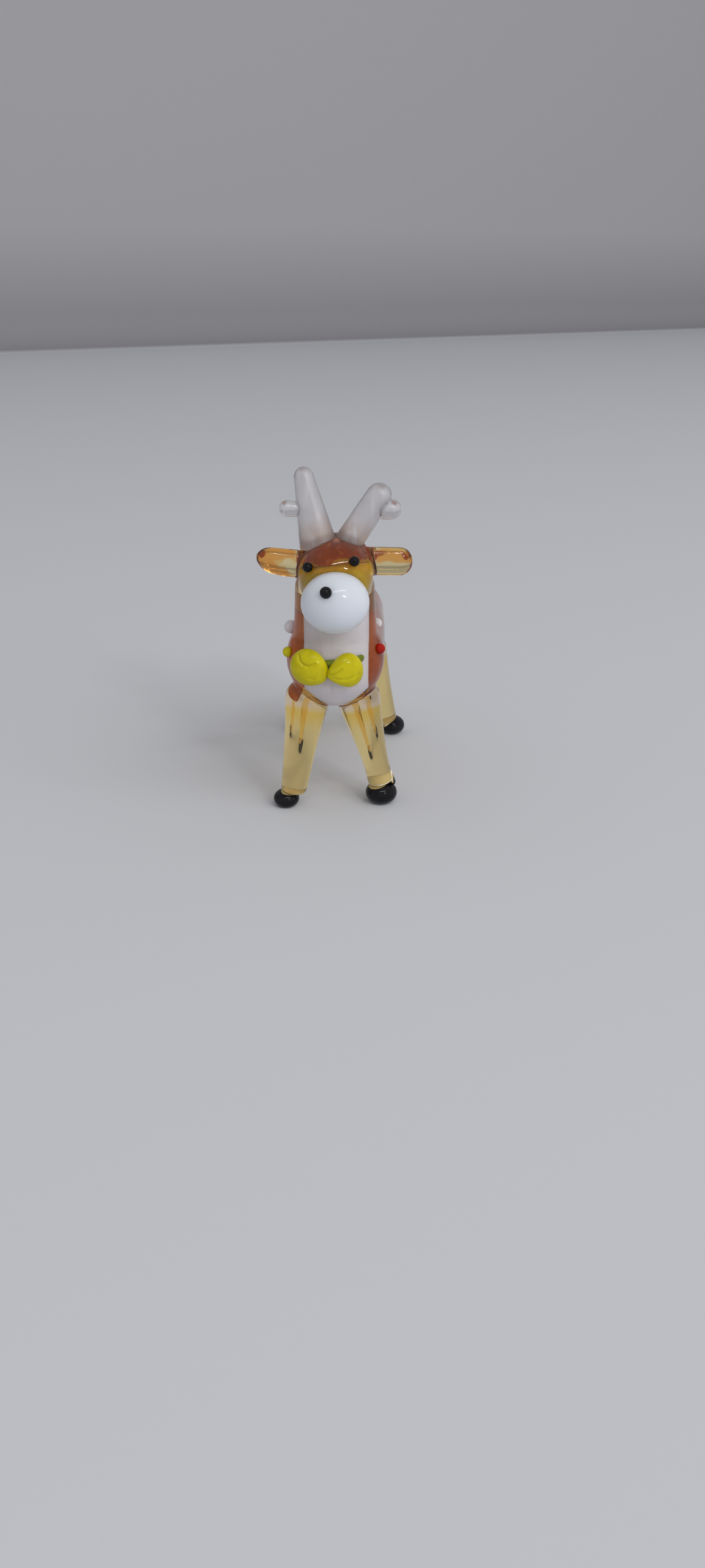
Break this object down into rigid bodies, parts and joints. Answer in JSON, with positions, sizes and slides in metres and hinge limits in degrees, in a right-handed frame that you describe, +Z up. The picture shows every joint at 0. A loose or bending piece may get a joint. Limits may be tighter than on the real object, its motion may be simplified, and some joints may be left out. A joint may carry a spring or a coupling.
{
  "type": "glass reindeer figurine",
  "caption": "Small lampworked glass reindeer that stands on its hooves, with antlers, a round muzzle, a striped chest and a two-lobed bow.",
  "frame": {"origin": "on the floor that the hooves stand on, under the middle of the bounding box", "axes": "+Z up; the animal looks along -Y; +X is its left side"},
  "size_m": [0.0214, 0.0442, 0.0497],
  "materials": {
    "amber_glass": "clear pale amber glass, fire-polished",
    "white_glass": "opaque white glass, fire-polished gloss",
    "brown_glass": "rust-brown translucent glass, gloss",
    "black_glass": "opaque black glass, high gloss",
    "opal_glass": "milky pinkish-white translucent glass, gloss",
    "clear_glass": "clear glass with a faint violet cast, gloss",
    "green_glass": "transparent olive-green glass, gloss",
    "yellow_glass": "opaque lemon-yellow glass, gloss",
    "red_glass": "opaque red glass, gloss"
  },
  "bodies": {
    "root": {"torso": "amber_glass", "neck": "amber_glass", "head": "amber_glass", "chest_bib": "white_glass", "back_stripe": "brown_glass", "crown_patch": "brown_glass", "muzzle": "white_glass", "nose": "black_glass", "left_eye": "black_glass", "right_eye": "black_glass", "left_ear": "amber_glass", "right_ear": "amber_glass", "left_antler": "opal_glass", "right_antler": "opal_glass", "left_antler_tine": "clear_glass", "right_antler_tine": "clear_glass", "collar_stringer": "green_glass", "left_bow_lobe": "yellow_glass", "right_bow_lobe": "yellow_glass", "front_right_leg": "amber_glass", "front_right_hoof": "black_glass", "front_left_leg": "amber_glass", "front_left_hoof": "black_glass", "rear_right_leg": "amber_glass", "rear_right_hoof": "black_glass", "rear_left_leg": "amber_glass", "rear_left_hoof": "black_glass", "tail": "amber_glass", "left_red_bead": "red_glass", "left_white_bead": "white_glass", "right_yellow_bead": "yellow_glass", "right_white_bead": "white_glass"}
  },
  "joints": []
}
